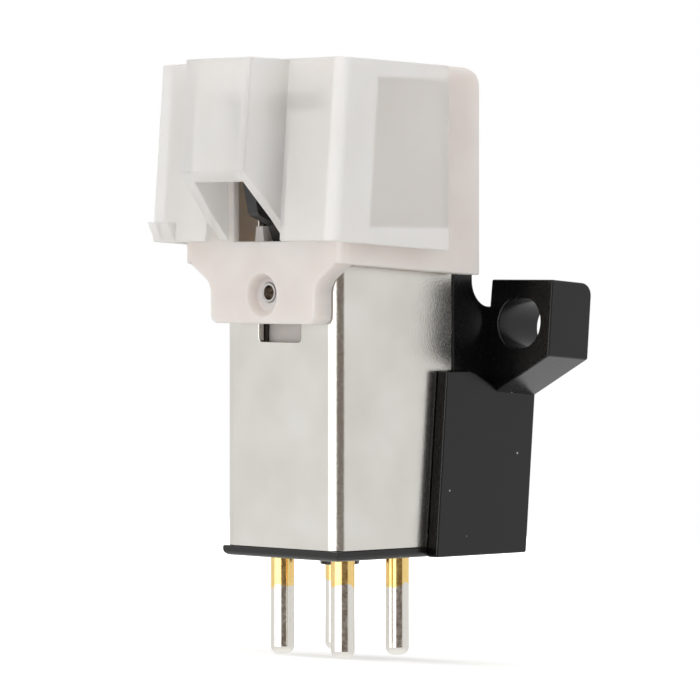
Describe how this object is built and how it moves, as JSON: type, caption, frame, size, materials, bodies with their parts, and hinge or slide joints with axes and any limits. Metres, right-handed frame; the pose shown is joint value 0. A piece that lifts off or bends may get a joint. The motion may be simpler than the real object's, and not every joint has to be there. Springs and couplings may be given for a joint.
{
  "type": "turntable stylus cartridge",
  "caption": "Half-inch mount moving-magnet phono cartridge with a metal shield can, a pull-off stylus holder under a frosted guard, a slotted bracket and round terminal pins.",
  "frame": {"origin": "midway between the two mounting slots, on the face that meets the headshell", "axes": "+X across the cartridge, +Y out of the headshell face, +Z towards the stylus nose"},
  "size_m": [0.0172, 0.0187, 0.0301],
  "materials": {
    "nickel_sheet": "satin nickel-plated sheet",
    "black_plastic": "moulded, satin",
    "black_base": "moulded, satin",
    "grey_plastic": "moulded",
    "ivory_plastic": "moulded, smooth",
    "frosted_plastic": "translucent, frosted",
    "gold_pin": "gold plated, ends tinned",
    "steel": "turned",
    "core_iron": "rolled",
    "copper_wire": "enamelled fine wire",
    "black_rubber": "soft",
    "carbon_plastic": "carbon filled",
    "magnet": "ground",
    "tip": "polished"
  },
  "bodies": {
    "generator": {"shield_can": "nickel_sheet", "terminal_base": "black_base", "mount_bracket": "black_plastic", "pole_holder": "grey_plastic", "core_left": "core_iron", "core_right": "core_iron", "pin_left_signal": "gold_pin", "pin_left_ground": "gold_pin", "pin_right_signal": "gold_pin", "pin_right_ground": "gold_pin", "bobbin_left_front": "grey_plastic", "bobbin_left_rear": "grey_plastic", "bobbin_right_front": "grey_plastic", "bobbin_right_rear": "grey_plastic", "winding_left_front": "copper_wire", "winding_left_rear": "copper_wire", "winding_right_front": "copper_wire", "winding_right_rear": "copper_wire", "pole_left_front": "core_iron", "pole_left_rear": "core_iron", "pole_right_front": "core_iron", "pole_right_rear": "core_iron"},
    "stylus": {"stylus_holder": "ivory_plastic", "lock_pin": "steel"},
    "guard": {"stylus_guard": "frosted_plastic"},
    "damper": {"damper": "black_rubber"},
    "cantilever": {"cantilever": "carbon_plastic", "stylus_tip": "tip", "magnet_left": "magnet", "magnet_right": "magnet"}
  },
  "joints": [
    {"name": "stylus_slide", "type": "slide", "parent": "generator", "child": "stylus", "axis": [0, -0.0793, 0.9968], "range_m": [0, 0.014]},
    {"name": "guard_slide", "type": "slide", "parent": "stylus", "child": "guard", "axis": [0, -0.0793, 0.9968], "range_m": [0, 0.012]},
    {"name": "cantilever_rise", "type": "hinge", "parent": "stylus", "child": "damper", "pos_m": [0, -0.01234, 0.00114], "axis": [1, 0, 0], "range_deg": [-4, 1.5], "stiffness_Nm_per_rad": 0.004},
    {"name": "cantilever_sway", "type": "hinge", "parent": "damper", "child": "cantilever", "pos_m": [0, -0.01234, 0.00114], "axis": [0, -0.8742, -0.4856], "range_deg": [-3, 3], "stiffness_Nm_per_rad": 0.004}
  ]
}
